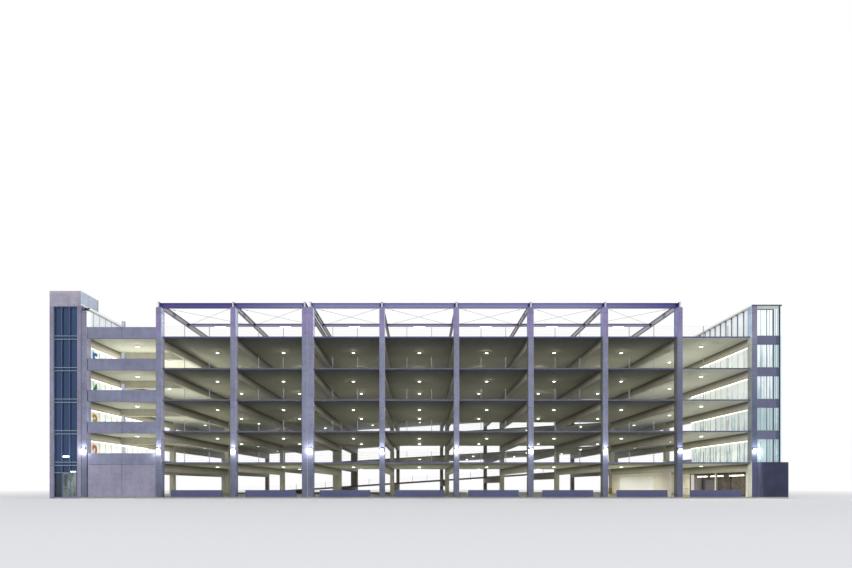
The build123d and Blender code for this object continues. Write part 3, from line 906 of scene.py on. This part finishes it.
def make_brace_rods():
    """Crossed rods between the front edge beam and the first purlin, with turnbuckles and gussets."""
    rods = Solids()
    gussets = Solids()
    z = purlin_foot + 0.03
    near_y, far_y = front_edge_y + brace_end, purlin_rows[0] - brace_end
    for start, end in roof_spans:
        ends = (start + brace_end, end - brace_end)
        for number, (a, b) in enumerate((ends, ends[::-1])):
            height = z + number * 0.016
            foot, head = Vector((a, near_y, height)), Vector((b, far_y, height))
            rods.rod(foot, head, 0.006, 6)
            way = (head - foot).normalized()
            rods.rod(foot + way * 0.5, foot + way * 0.62, 0.014, 6)
        for x, side in ((start, 1), (end, -1)):
            for y, inward in ((front_edge_y, 1), (purlin_rows[0], -1)):
                corners = [(x + side * a, y + inward * b) for a, b in gusset_corners]
                gussets.tube([[(a, b, z + lift) for a, b in corners] for lift in (-0.014, -0.006)])
    rods.piece("roof_brace_rods", "dark_steel")
    gussets.piece("roof_gussets", "grey_steel")


# Lights: profiles of the round ones as (radius, height) points, and rows behind the front
disc_housing = [
    (0.012, 0.0), (0.012, -0.056), (0.07, -0.061), (0.089, -0.066), (0.089, -0.078), (0.06, -0.081)]
disc_lens = [(0.084, -0.076), (0.085, -0.088), (0.07, -0.0955), (0.04, -0.0985), (0.012, -0.0998)]
lamp_rows = (2.8, 6.65)
end_lamp_rows = (1.5, 5.0)
ramp_lamp_rows = (10.15, 15.0)
ramp_slope = math.atan2(tops[2] - tops[1], ramp_head - ramp_foot)
wall_lamp_lines = columns[:joint_line] + columns[joint_line + 1:]


def deck_lamp_places():
    """Place and tilt of each light under the decks: (x, y, z, tilt)."""
    places = []
    for k, (start, end) in enumerate(bays):
        rows = end_lamp_rows if k in (0, bay_count - 1) else lamp_rows
        x = (start + end) / 2
        places += [(x, front + row, tops[level] - slab, 0.0) for row in rows for level in levels]
    return places


def ramp_lamp_places():
    """The same for the lights under the ramps and turning slabs behind."""
    places = []
    for level in levels:
        for k in range(bay_count):
            x = line_x(k) + bay / 2
            z = floor_top(level, x) - slab
            tilt = -ramp_slope if 0 < k < bay_count - 1 else 0.0
            if z > ground_top + 0.9:
                places += [(x, front + row, z, tilt) for row in ramp_lamp_rows]
    return places


def make_discs(name, places, sides):
    """Housings and lenses of round lights that hang from their places."""
    housings = Solids()
    lenses = Solids()
    for *place, tilt in places:
        housings.turned(place, disc_housing, sides, tilt)
        lenses.turned(place, disc_lens, sides, tilt)
    return (housings.piece(f"{name}_light_housings", "grey_steel", smooth=True),
            lenses.piece(f"{name}_light_lenses", "lamp", "lamp", smooth=True))


def make_ceiling_lights():
    housing, lens = make_discs("ceiling", deck_lamp_places(), 20)
    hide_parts("ceiling_lights")
    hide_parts("ceiling_lights")
    make_discs("ramp", ramp_lamp_places(), 16)


def make_roof_lights():
    """Long lights under the first purlin: a folded housing with a lens that wraps round its foot."""
    housings = Solids()
    lenses = Solids()
    foot, head = low("roof_lights").z, high("roof_lights").z
    y = (low("roof_lights").y + high("roof_lights").y) / 2
    half = 0.325
    fold = head - 0.022
    housing_outline = [(y - 0.03, head), (y + 0.03, head), (y + 0.044, fold), (y - 0.044, fold)]
    lens_outline = [
        (y - 0.042, fold - 0.001), (y + 0.042, fold - 0.001), (y + 0.036, foot + 0.008), (y + 0.02, foot),
        (y - 0.02, foot), (y - 0.036, foot + 0.008)]
    for start, end in roof_spans:
        middle = (start + end) / 2
        housings.along_x(housing_outline, middle - half, middle + half)
        for x in about(middle, half - 0.006):
            housings.box(about(x, 0.006), about(y, 0.044), (foot, head - 0.01))
        lenses.along_x(lens_outline, middle - half + 0.013, middle + half - 0.013)
    housing = housings.piece("roof_light_housings", "grey_steel")
    lens = lenses.piece("roof_light_lenses", "lamp", "lamp")
    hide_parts("roof_lights")
    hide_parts("roof_lights")


def make_wall_lights():
    """Hooded wall lights on the front columns, with a lens under each hood."""
    hoods = Solids()
    lenses = Solids()
    foot, head = low("wall_lights").z, high("wall_lights").z
    tip = low("wall_lights").y
    half = 0.065
    hood_outline = [
        (front, foot), (front, head), (front - 0.03, head), (tip, head - 0.05), (tip, head - 0.062),
        (front - 0.028, head - 0.03), (front - 0.012, foot)]
    lens_outline = [
        (front - 0.0125, foot + 0.004), (front - 0.03, head - 0.034), (tip + 0.004, head - 0.064),
        (tip + 0.008, foot + 0.02), (front - 0.05, foot)]
    for x in wall_lamp_lines:
        hoods.along_x(hood_outline, x - half, x + half)
        lenses.along_x(lens_outline, x - half + 0.006, x + half - 0.006)
    hood = hoods.piece("wall_light_hoods", "grey_steel")
    lens = lenses.piece("wall_light_lenses", "wall_lamp", "lamp")
    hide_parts("wall_lights")
    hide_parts("wall_lights")


# Translucent screens beside the stairs
screen_step = 0.52
screen_half = 0.015
west_screen = first_line + screen_half
east_screen = last_line - screen_half
screen_depth = (column_back, stair_back)
corner_top = tower_roof_foot - 0.14
screen_rows = [(tops[level - 1], tops[level] - slab - beam) for level in levels]


def screen_places(start):
    """Places of the screens' uprights along Y, from a distance behind the front."""
    count = int((stair_back - front - start) / screen_step) + 1
    return [front + start + n * screen_step for n in range(count)]


def make_west_screens():
    bars = Solids()
    x = west_screen
    for foot, head in screen_rows + [(tops[5], tower_roof_foot)]:
        for y in screen_places(0.72):
            bars.box((x, x + 0.02), about(y, 0.01), (foot, head))
        bars.box((x, x + 0.025), screen_depth, (foot, foot + 0.03))
        bars.box((x, x + 0.025), screen_depth, (head - 0.03, head))
    bars.piece("west_screen_bars", "bright_steel")
    side = first_line + column_width / 2
    heights = (tops[5] + spandrel_rise, corner_top)
    panel = Solids(((side, side + 0.012), (front + 0.004, column_back), heights))
    panel.piece("west_corner_panel", "translucent_glass", "translucent_glass")


def make_east_screens():
    x = east_screen
    top = stair_roof_foot
    posts = Solids()
    bars = Solids()
    rails = Solids()
    for y in screen_places(0.815):
        posts.box((x - 0.05, x), about(y, 0.01), (tops[5], top))
        posts.box((x - 0.13, x), about(y, 0.012), (top - 0.09, top - 0.04))
    for foot, head in screen_rows[1:]:
        for y in screen_places(0.815):
            bars.box((x - 0.014, x), about(y, 0.008), (foot, head))
        rails.box((x - 0.025, x), screen_depth, (foot, foot + 0.03))
    rails.box((x - 0.03, x), screen_depth, (tops[5], tops[5] + 0.03))
    rails.box((x - 0.02, x), screen_depth, (top - 0.04, top))
    posts.piece("east_screen_posts", "slate_steel")
    bars.piece("east_screen_bars", "grey_steel")
    rails.piece("east_screen_rails", "bright_steel")


def make_screen_strips():
    """Light strips along the head of each storey of the screens."""
    strips = [((x, x + inward * 0.03), (column_back + 0.01, stair_back), (head - 0.035, head))
              for x, inward in ((east_screen, -1), (west_screen, 1)) for foot, head in screen_rows[1:]]
    Solids(*strips).piece("screen_light_strips", "strip_lamp", "lamp")


# Level numbers on the west screen
number_width = 0.44
number_height = 0.76
number_foot = 0.17
number_start = 0.6
number_weight = 0.035
number_gap = 0.022


def make_level_numbers():
    for level, digit in enumerate("2345", start=1):
        curve = bpy.data.curves.new(f"digit_{digit}", "FONT")
        curve.body = digit
        curve.extrude = 0.004
        curve.offset = number_weight
        curve.resolution_u = 6
        shape = bpy.data.objects.new(f"digit_{digit}", curve)
        bpy.context.scene.collection.objects.link(shape)
        bpy.context.view_layer.update()
        mesh = bpy.data.meshes.new_from_object(shape)
        bpy.data.objects.remove(shape)
        lows = [min(v.co[axis] for v in mesh.vertices) for axis in range(3)]
        highs = [max(v.co[axis] for v in mesh.vertices) for axis in range(3)]
        for v in mesh.vertices:
            along = (v.co.x - lows[0]) / (highs[0] - lows[0]) * number_width
            up = (v.co.y - lows[1]) / (highs[1] - lows[1]) * number_height
            out = v.co.z - lows[2] + number_gap
            v.co = (west_screen + out, front + number_start + along, tops[level] + number_foot + up)
        mesh.update()
        mesh.materials.clear()
        mesh.materials.append(finishes[f"number_paint_{digit}"])
        piece = bpy.data.objects.new(f"level_number_{digit}", mesh)
        bpy.context.scene.collection.objects.link(piece)
        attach(piece, "building")


# West tower: window covers, door fittings, header flashing and small lights
tower_left = low("tower_frame").x
tower_right = high("tower_frame").x
frame_face = low("tower_frame").y
door_head = low("tower_frame").z
door_top = high("left_door_frame").z
frame_bar = 0.036
cover_half = 0.017
window_light_x = (-18.01, -17.64)
window_light_z = (2.085, 2.155)
door_light_x = (-17.56, -17.3)


def make_tower_window():
    """Pale covers on the cross bars, slim caps on the uprights and a threshold under the doors."""
    face = frame_face
    across = (tower_left + 0.02, tower_right - 0.02)
    rows = [about(z, cover_half) for level in levels for z in (tops[level], tops[level] - transom_drop)]
    rows.append(about(door_head + frame_bar / 2, 0.014))
    covers = Solids(*[(across, (face - 0.012, face), row) for row in rows])
    covers.piece("tower_transom_covers", "pale_frame", "window_frame")
    third = (tower_right - tower_left) / 3
    feet = [door_head + frame_bar] + [tops[level] + cover_half for level in levels]
    heads = [tops[level] - transom_drop - cover_half for level in levels] + [cap_foot - 0.01]
    caps = Solids(*[(about(tower_left + n * third - 0.015, 0.018), (face - 0.022, face), ends)
                    for n in (1, 2) for ends in zip(feet, heads)])
    caps.piece("tower_mullion_caps", "mullion", "window_frame")
    step_top = ground_top + 0.003
    outline = [(face - 0.03, ground_top), (face - 0.022, step_top), (face + 0.05, step_top),
               (face + 0.05, ground_top)]
    step = Solids()
    step.along_x(outline, low("door_jambs").x, tower_right)
    step.piece("door_threshold", "grey_steel", "window_frame")


def make_door_fittings():
    """A pull bar and a closer on each leaf, which ride with it. Heights count from the ground slab."""
    for body, node, side in (("left_door", "left_door_frame", 1), ("right_door", "right_door_frame", -1)):
        hinge, edge = (low(node).x, high(node).x)[::side]
        face = low(node).y
        x, y = edge - side * 0.024, face - 0.028
        fittings = Solids()
        fittings.rod((x, y, ground_top + 0.42), (x, y, ground_top + 0.82), 0.007, 12)
        for z in (0.46, 0.78):
            fittings.rod((x, y, ground_top + z), (x, face + 0.002, ground_top + z), 0.005)
        fittings.piece(f"{body}_pull", "bright_steel", "door_metal", body)
        closer = Solids(((hinge + side * 0.05, hinge + side * 0.17), (face - 0.014, face),
                         (door_top - 0.045, door_top - 0.02)))
        closer.piece(f"{body}_closer", "grey_steel", "door_metal", body, edge=0.003)


def make_tower_trim():
    """Flashing along the foot of the header's east face and a roof edge, both glowing as painted light; dark
    strips as painted shadow below the flashing and over the column's head, a dark joint line at the pillar's
    front, and a pale trim strip on the header's rear edge that also stands for its highlight.
    """
    face = high("tower_cap").x
    roof_east = first_line + column_width / 2
    roof_edge = (tower_roof_foot - 0.012, cap_foot + 0.01)
    # The flashing and the roof edge glow as painted light.
    flashing = Solids(
        ((face, face + 0.014), (front, cap_back), (cap_foot + 0.06, cap_foot + 0.105)),
        ((roof_east, roof_east + 0.012), (front + 0.25, stair_back), roof_edge))
    flashing.piece("header_flashing", "lit_edge", "white_steel")
    # Dark strips: a joint line at the pillar's front, and painted shadow below the flashing and over the
    # column's head.
    joint = Solids(
        (about(face, 0.008), (front - 0.004, front + 0.01), (ground_top, corner_top)),
        ((face, face + 0.01), (front, front + 1.0), (cap_foot + 0.03, cap_foot + 0.06)),
        (about(first_line, screen_half), (front + 0.03, column_back), (corner_top, tower_roof_foot)))
    joint.piece("pillar_joint_and_shadow_strips", "dark_steel", "window_frame")
    # The pale rear trim also stands in for the highlight on the header's rear edge.
    trim = Solids(((face, face + 0.012), (cap_back - 0.085, cap_back), (cap_foot, cap_top - 0.01)))
    trim.piece("header_rear_trim_and_highlight", "bright_steel")


def make_tower_lamps():
    """A linear light on the window and one over the doors."""
    glass_face = low("tower_glass").y
    lamp = Solids((window_light_x, (glass_face - 0.008, glass_face), window_light_z))
    lamp.piece("tower_window_light", "inner_lamp", "lamp")
    heights = (door_head + 0.055, door_head + 0.09)
    door_lamp = Solids((door_light_x, (frame_face - 0.03, frame_face), heights))
    door_lamp.piece("door_light", "lamp", "lamp", edge=0.006)


# East stair: places of the pale bars from the east face, and the corner
pale_bars = (0.2, 0.642, 0.939, 1.05)
corner_x = high("stair_front_glass").x
corner_post = corner_x - 0.018
spandrel_lip = 0.065
band_foot = stair_roof_foot - 0.18


def make_stair_bars():
    """Uprights of the front glass, the corner post, and the head band under the roof edge."""
    face = glass_front
    dark = Solids()
    pale = Solids()
    storeys = [(tops[level], tops[level + 1] - spandrel_height) for level in levels[:-1]]
    for rows in storeys + [(tops[5], band_foot)]:
        dark.box(about(east_face + 0.828, 0.026), (face - 0.02, face), rows)
        dark.box(about(east_face + 0.496, 0.009), (face - 0.016, face), rows)
        for x in pale_bars:
            pale.box(about(east_face + x, 0.006), (face - 0.012, face), rows)
    dark.box((east_face, east_face + 0.848), (face - 0.02, face), (band_foot, band_foot + 0.035))
    dark.box((corner_post, corner_x + 0.046), about(face, 0.03), (tops[1], stair_roof_foot))
    dark.piece("stair_window_uprights", "dark_steel")
    pale.piece("stair_window_bars", "pale_frame", "window_frame")
    band = Solids(((east_face, corner_post), (face - 0.012, face), (band_foot + 0.035, stair_roof_foot)))
    band.piece("stair_head_band", "head_board", "white_steel")


def make_stair_trim():
    """Sills and lips of the spandrels, and the bars of the side glass."""
    y = low("stair_spandrels").y
    sills = [((east_face, corner_x), (y - 0.008, y + 0.05), (tops[level], tops[level] + 0.012))
             for level in levels[1:]]
    Solids(*sills).piece("stair_sills", "grey_steel")
    feet = [tops[level] - spandrel_height for level in levels[1:]]
    lips = Solids(*[((east_face, corner_post), (y, glass_front), (foot - spandrel_lip, foot))
                    for foot in feet])
    lips.piece("stair_spandrel_lips", "stair_spandrel_concrete", "base_concrete")
    side = Solids()
    x = high("stair_side_glass").x
    for y in screen_places(0.4):
        side.box((x - 0.002, x + 0.012), about(y, 0.008), (tops[1], stair_roof_foot - 0.01))
    for level in levels:
        side.box((x - 0.002, x + 0.014), (front + 0.08, stair_back), about(tops[level], 0.02))
    side.piece("stair_side_bars", "grey_steel")


# East ground bay
window_head = tops[1] - slab - beam
window_panes = ((front + 0.63, front + 3.33), (front + 3.43, front + 6.2))
pendant_x = 17.1
pendant_top = 1.215
# Place of each pendant behind the front, and half its length
pendants = ((1.82, 0.6), (3.68, 0.6), (5.2, 0.5))
sleeve_thickness = 0.012
guard_bar_step = 0.0975


def make_ground_window():
    """Frame bars round the panes, and three linear pendants hung behind the glass."""
    bars = Solids()
    x = low("east_window_glass").x
    foot, head = ground_top + 0.06, window_head - 0.035
    for start, end in window_panes:
        bars.box((x - 0.02, x), (start, end), (head, window_head))
        bars.box((x - 0.02, x), (start, end), (ground_top, foot))
        for y in (start + 0.012, (start + end) / 2, end - 0.012):
            bars.box((x - 0.016, x), about(y, 0.012), (foot, head))
    bars.piece("ground_window_bars", "dark_steel", "window_frame")
    lamps = Solids()
    rods = Solids()
    for place, half in pendants:
        lamps.box(about(pendant_x, 0.03), about(front + place, half), (pendant_top - 0.05, pendant_top))
        for y in about(front + place, 0.7 * half):
            rods.rod((pendant_x, y, pendant_top), (pendant_x, y, low("stair_floors").z + 1.685), 0.006, 6)
    lamps.piece("window_pendants", "inner_lamp", "lamp", edge=0.006)
    rods.piece("pendant_rods", "grey_steel")


def make_ground_bay():
    """Bare board on the divider, striped sleeve on the column, and the low guard behind the column line."""
    x = low("divider_wall").x
    board = Solids(((x - 0.02, x), (front + 2.9, front + 7.7), (ground_top + 0.25, ground_top + 1.1)))
    board.piece("divider_board", "white_board", "white_steel", edge=0.004)
    x = line_x(8)
    depth = about(inner_rail_y, column_depth / 2 + sleeve_thickness)
    sleeve = Solids((about(x, column_width / 2 + sleeve_thickness), depth,
                     (ground_top + 0.02, ground_top + 0.42)))
    sleeve.piece("column_sleeve", "hazard_stripes", "white_steel", edge=0.012)
    start, end = x + 0.172, x + 0.622
    y = column_back + 0.06
    low_rail, high_rail = ground_top + 0.075, ground_top + 0.4
    guard = Solids(
        ((start, end), about(y, 0.025), (ground_top, low_rail)),
        ((start, end), about(y, 0.018), (high_rail, ground_top + 0.435)))
    guard.piece("entrance_guard_rails", "yellow_paint", "white_steel", edge=0.004)
    bars = Solids(*[(about(start + 0.03 + n * guard_bar_step, 0.014), about(y, 0.012), (low_rail, high_rail))
                    for n in range(5)])
    bars.piece("entrance_guard_bars", "bright_steel", edge=0.003)


make_finishes()
dress_nodes()
make_rail_cables()
make_rail_feet()
make_joint_covers()
make_roof_plates()
make_brace_rods()
make_ceiling_lights()
make_roof_lights()
make_wall_lights()
make_west_screens()
make_east_screens()
make_screen_strips()
make_level_numbers()
make_tower_window()
make_door_fittings()
make_tower_trim()
make_tower_lamps()
make_stair_bars()
make_stair_trim()
make_ground_window()
make_ground_bay()


# Stage, lamps and camera
floor_half = 400
fade_start = 24
fade_end = 60


def make_floor():
    """A pale floor that fades to white far from the building and keeps its shadow."""
    finish = Finish("stage_floor", 0.9)
    finish.set("Base Color", (0.8, 0.8, 0.8))
    finish.set("Specular IOR Level", 0.0)
    length = finish.node("VectorMath", {0: finish.place}, operation="LENGTH").outputs["Value"]
    fade = Value(finish, length).between(fade_start, fade_end)
    white = finish.node("Emission", {"Strength": 1.0})
    blend = finish.node(
        "MixShader", {0: fade * finish.seen_rays(), 1: finish.shader.outputs[0], 2: white.outputs[0]})
    finish.feed(finish.nodes["Material Output"].inputs["Surface"], blend.outputs[0])
    mesh = bpy.data.meshes.new("stage_floor")
    corners = [(x * floor_half, y * floor_half, 0) for x, y in ((-1, -1), (1, -1), (1, 1), (-1, 1))]
    mesh.from_pydata(corners, [], [(0, 1, 2, 3)])
    mesh.materials.append(finish.material)
    floor = bpy.data.objects.new("stage_floor", mesh)
    bpy.context.scene.collection.objects.link(floor)


def make_world():
    """Soft light all round; the camera, glossy and transmission rays see white."""
    world = bpy.data.worlds.new("studio")
    bpy.context.scene.world = world
    tree = Tree(world)
    tree.nodes.clear()
    lit = tree.node("Background", {"Color": (0.93, 0.95, 1.0), "Strength": 0.75})
    seen = tree.node("Background", {"Color": (1, 1, 1), "Strength": 1.0})
    blend = tree.node("MixShader", {0: tree.seen_rays(), 1: lit.outputs[0], 2: seen.outputs[0]})
    tree.node("OutputWorld", {"Surface": blend.outputs[0]})


def add_light(name, kind, place, energy, colour=(1, 1, 1), turn=(0, 0, 0), **settings):
    light = bpy.data.lights.new(name, kind)
    light.energy = energy
    light.color = colour
    for key, value in settings.items():
        setattr(light, key, value)
    obj = bpy.data.objects.new(name, light)
    obj.location = place
    obj.rotation_euler = turn
    obj.visible_camera = False
    obj.visible_glossy = False
    obj.visible_transmission = False
    bpy.context.scene.collection.objects.link(obj)


lamp_colour = (1.0, 0.98, 0.88)
wall_lamp_colour = (1, 0.99, 0.95)
side_light_colour = (1, 0.99, 0.96)
halo_power = 1.6
spot_power = 40
end_spot_power = 80
ground_boost = 2.6
wall_lamp_power = 30
side_light_power = 5.5
spot_angle = math.radians(164)
spot_drop = 0.12
wall_lamp_reach = 0.115
fill_depth = 7.0
fill_place = 5.2
# Light on the ceilings, in watts for each square metre of floor, by bay from the west
ceiling_fill = {5: (8.2, 0.35, 0.3, 0.22, 0.22, 0.2, 0.3, 0.7, 2.6),
                4: (4.8, 0.4, 0.35, 0.3, 0.25, 0.22, 0.22, 0.3, 2.2),
                3: (4.8, 0.35, 0.3, 0.3, 0.3, 0.2, 0.25, 0.25, 2.0),
                2: (4.4, 0.4, 0.3, 0.3, 0.4, 0.25, 0.3, 0.5, 2.2),
                1: (2.0, 0.8, 2.0, 1.5, 1.5, 1.2, 1.3, 2.2, 2.2)}


def add_lamp(name, x, y, z, spot):
    """A small halo on the ceiling round the lamp, and its light on everything below."""
    add_light(f"{name}_halo", "POINT", (x, y - 0.14, z - 0.24), halo_power, lamp_colour, shadow_soft_size=0.1)
    add_light(f"{name}_spot", "SPOT", (x, y, z - spot_drop), spot, lamp_colour, spot_size=spot_angle,
              spot_blend=0.4, shadow_soft_size=0.12)


def make_lamps():
    """The sun, the lamps of decks, ramps and wall lights, and soft light up to each ceiling."""
    add_light("key_sun", "SUN", (-20, -40, 40), 1.0, turn=(math.radians(52), 0, math.radians(-28)),
              angle=math.radians(25))
    for number, (x, y, z, _) in enumerate(deck_lamp_places()):
        spot = end_spot_power if abs(x) > line_x(8) else spot_power
        boost = ground_boost if z < tops[1] and x > line_x(7) else 1
        add_lamp(f"deck_lamp_{number}", x, y, z, spot * boost)
    for number, (x, y, z, _) in enumerate(ramp_lamp_places()):
        add_lamp(f"ramp_lamp_{number}", x, y, z, spot_power)
    for number, x in enumerate(wall_lamp_lines):
        place = (x, front - wall_lamp_reach, low("wall_lights").z + 0.02)
        add_light(
            f"wall_lamp_{number}", "POINT", place, wall_lamp_power, wall_lamp_colour, shadow_soft_size=0.03)
    for level, powers in ceiling_fill.items():
        for number, (start, end) in enumerate(bays):
            place = ((start + end) / 2, front + fill_place, tops[level - 1] + 0.06)
            power = powers[number] * (end - start) * fill_depth
            add_light(f"fill_{level}_{number}", "AREA", place, power, lamp_colour, (math.radians(180), 0, 0),
                      shape="RECTANGLE", size=end - start, size_y=fill_depth)


def make_side_lights():
    """Tall soft lights that stand in for the lamps' light on the columns' side faces."""
    tall = steel_foot - ground_top
    for number, (start, end) in enumerate(bays):
        for side, x in ((-1, start + 0.5), (1, end - 0.5)):
            turn = (math.radians(90), 0, math.radians(90) * -side)
            add_light(
                f"side_{number}_{side}", "AREA", (x, front + 0.11, ground_top + tall / 2), side_light_power,
                side_light_colour, turn, shape="RECTANGLE", size=0.12, size_y=tall, spread=math.radians(70))


camera_x = 0.0775
camera_distance = 26
camera_height = 0.595


def make_camera():
    """Camera of the photograph: level and square to the front, with a raised frame."""
    camera = bpy.data.cameras.new("camera")
    camera.sensor_width = 36
    camera.lens = 21.83
    camera.shift_x = 0.0064
    camera.shift_y = 0.2362
    camera.clip_end = 1000
    obj = bpy.data.objects.new("camera", camera)
    obj.location = (camera_x, front - camera_distance, ground_top + camera_height)
    obj.rotation_euler = (math.radians(90), 0, 0)
    bpy.context.scene.collection.objects.link(obj)
    bpy.context.scene.camera = obj


make_floor()
make_world()
make_lamps()
make_side_lights()
make_camera()
bpy.context.scene.view_settings.view_transform = "Standard"
